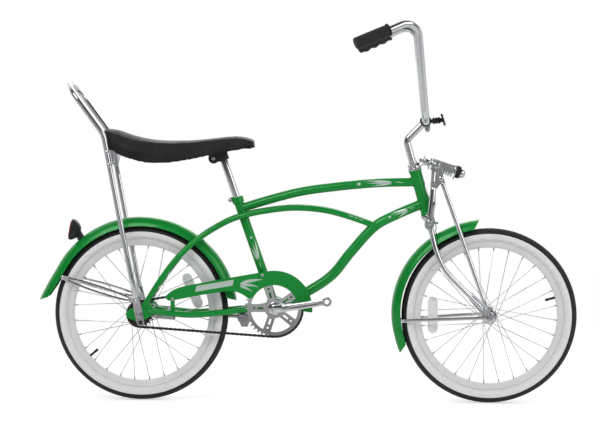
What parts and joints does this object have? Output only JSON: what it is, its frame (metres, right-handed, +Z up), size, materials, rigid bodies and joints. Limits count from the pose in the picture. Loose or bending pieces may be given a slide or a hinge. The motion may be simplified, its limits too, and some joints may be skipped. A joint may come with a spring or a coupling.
{
  "type": "lowrider bicycle",
  "caption": "Lowrider bicycle with small whitewall wheels, springer fork, banana seat, sissy bar, high-rise handlebar and roller chain drive.",
  "frame": {"origin": "on the ground under the middle of the bicycle", "axes": "+X forward, +Y to the rider's left, +Z up"},
  "size_m": [1.5412, 0.6236, 1.0854],
  "materials": {
    "black_plastic": "moulded black plastic",
    "black_rubber": "matt black rubber",
    "black_vinyl": "black vinyl cover over foam",
    "cast_alloy": "cast grey alloy",
    "chrome": "bright chrome plate",
    "clear_lens": "clear prismatic reflector",
    "dark_steel": "oiled dark steel",
    "green_paint": "glossy candy green enamel",
    "steel": "zinc-plated steel",
    "white_paint": "silver-white enamel",
    "white_rubber": "whitewall tyre, black tread"
  },
  "bodies": {
    "frame": {"head_tube": "green_paint", "bottom_bracket_shell": "green_paint", "seat_tube": "green_paint", "top_tube": "green_paint", "down_tube": "green_paint", "arch_tube_left": "green_paint", "arch_tube_right": "green_paint", "chainstay_left": "green_paint", "chainstay_right": "green_paint", "bracket_cup_left": "chrome", "bracket_cup_right": "chrome", "headset_cup_lower": "chrome", "headset_cup_upper": "chrome", "chainguard": "green_paint", "kickstand_head": "cast_alloy", "chain": "dark_steel", "rear_axle": "steel", "coaster_brake_arm": "steel", "seat_cushion": "black_vinyl", "seat_pan": "steel", "seat_post": "chrome", "seat_collar": "green_paint", "seat_clamp": "black_plastic", "sissy_bar": "chrome", "rear_fender": "green_paint", "rear_fender_stay_left": "chrome", "rear_fender_stay_right": "chrome", "rear_reflector": "black_plastic"},
    "crank": {"crank": "chrome", "chainwheel": "chrome"},
    "rear_sprocket": {"rear_sprocket": "dark_steel"},
    "rear_wheel": {"rear_tyre": "white_rubber", "rear_rim": "white_paint", "rear_hub_and_spokes": "chrome", "rear_wheel_reflector": "clear_lens"},
    "kickstand": {"kickstand_leg": "steel"},
    "steering": {"steerer_and_crown": "chrome", "headset_locknut": "chrome", "crown_pivot_bolt": "chrome", "spring_perch": "chrome", "spring_rod": "chrome", "spring_seat": "chrome", "front_bumper": "black_rubber", "main_spring": "chrome", "stem": "chrome", "handlebar": "chrome", "grip_left": "black_rubber", "grip_right": "black_rubber", "front_reflector": "black_plastic"},
    "fork_truss": {"fork_leg_left": "chrome", "fork_leg_right": "chrome", "front_axle": "steel", "front_fender": "green_paint", "front_fender_stay_left": "chrome", "front_fender_stay_right": "chrome"},
    "spring_yoke": {"spring_yoke": "chrome"},
    "front_wheel": {"front_tyre": "white_rubber", "front_rim": "white_paint", "front_hub_and_spokes": "chrome", "front_wheel_reflector": "clear_lens"}
  },
  "joints": [
    {"name": "steering", "type": "hinge", "parent": "frame", "child": "steering", "pos_m": [0.35024, 0, 0.51676], "axis": [-0.2756, 0, 0.9613], "range_deg": [-70, 70]},
    {"name": "fork_suspension", "type": "hinge", "parent": "steering", "child": "fork_truss", "pos_m": [0.35024, 0, 0.51676], "axis": [0, -1, 0], "range_deg": [0, 4], "stiffness_Nm_per_rad": 800, "springref_deg": -1.72, "deforming": ["main_spring"]},
    {"name": "yoke_pivot", "type": "hinge", "parent": "fork_truss", "child": "spring_yoke", "pos_m": [0.36907, 0, 0.67893], "axis": [0, -1, 0], "range_deg": [-4, 0]},
    {"name": "front_wheel_spin", "type": "hinge", "parent": "fork_truss", "child": "front_wheel", "pos_m": [0.5215, 0, 0.25], "axis": [0, 1, 0], "continuous": true},
    {"name": "rear_wheel_spin", "type": "hinge", "parent": "frame", "child": "rear_wheel", "pos_m": [-0.4745, 0, 0.25], "axis": [0, 1, 0], "continuous": true},
    {"name": "crank_spin", "type": "hinge", "parent": "frame", "child": "crank", "pos_m": [-0.09019, 0, 0.269], "axis": [0, 1, 0], "continuous": true, "deforming": ["chain"]},
    {"name": "rear_sprocket_spin", "type": "hinge", "parent": "frame", "child": "rear_sprocket", "pos_m": [-0.4745, 0, 0.25], "axis": [0, 1, 0], "continuous": true},
    {"name": "kickstand_pivot", "type": "hinge", "parent": "frame", "child": "kickstand", "pos_m": [-0.1775, 0.047, 0.23123], "axis": [0, -0.9972, -0.075], "range_deg": [0, 74]}
  ],
  "couplings": [
    {"joint": "yoke_pivot", "follows": "fork_suspension", "ratio": -1},
    {"joint": "rear_sprocket_spin", "follows": "crank_spin", "ratio": 2.2222}
  ]
}
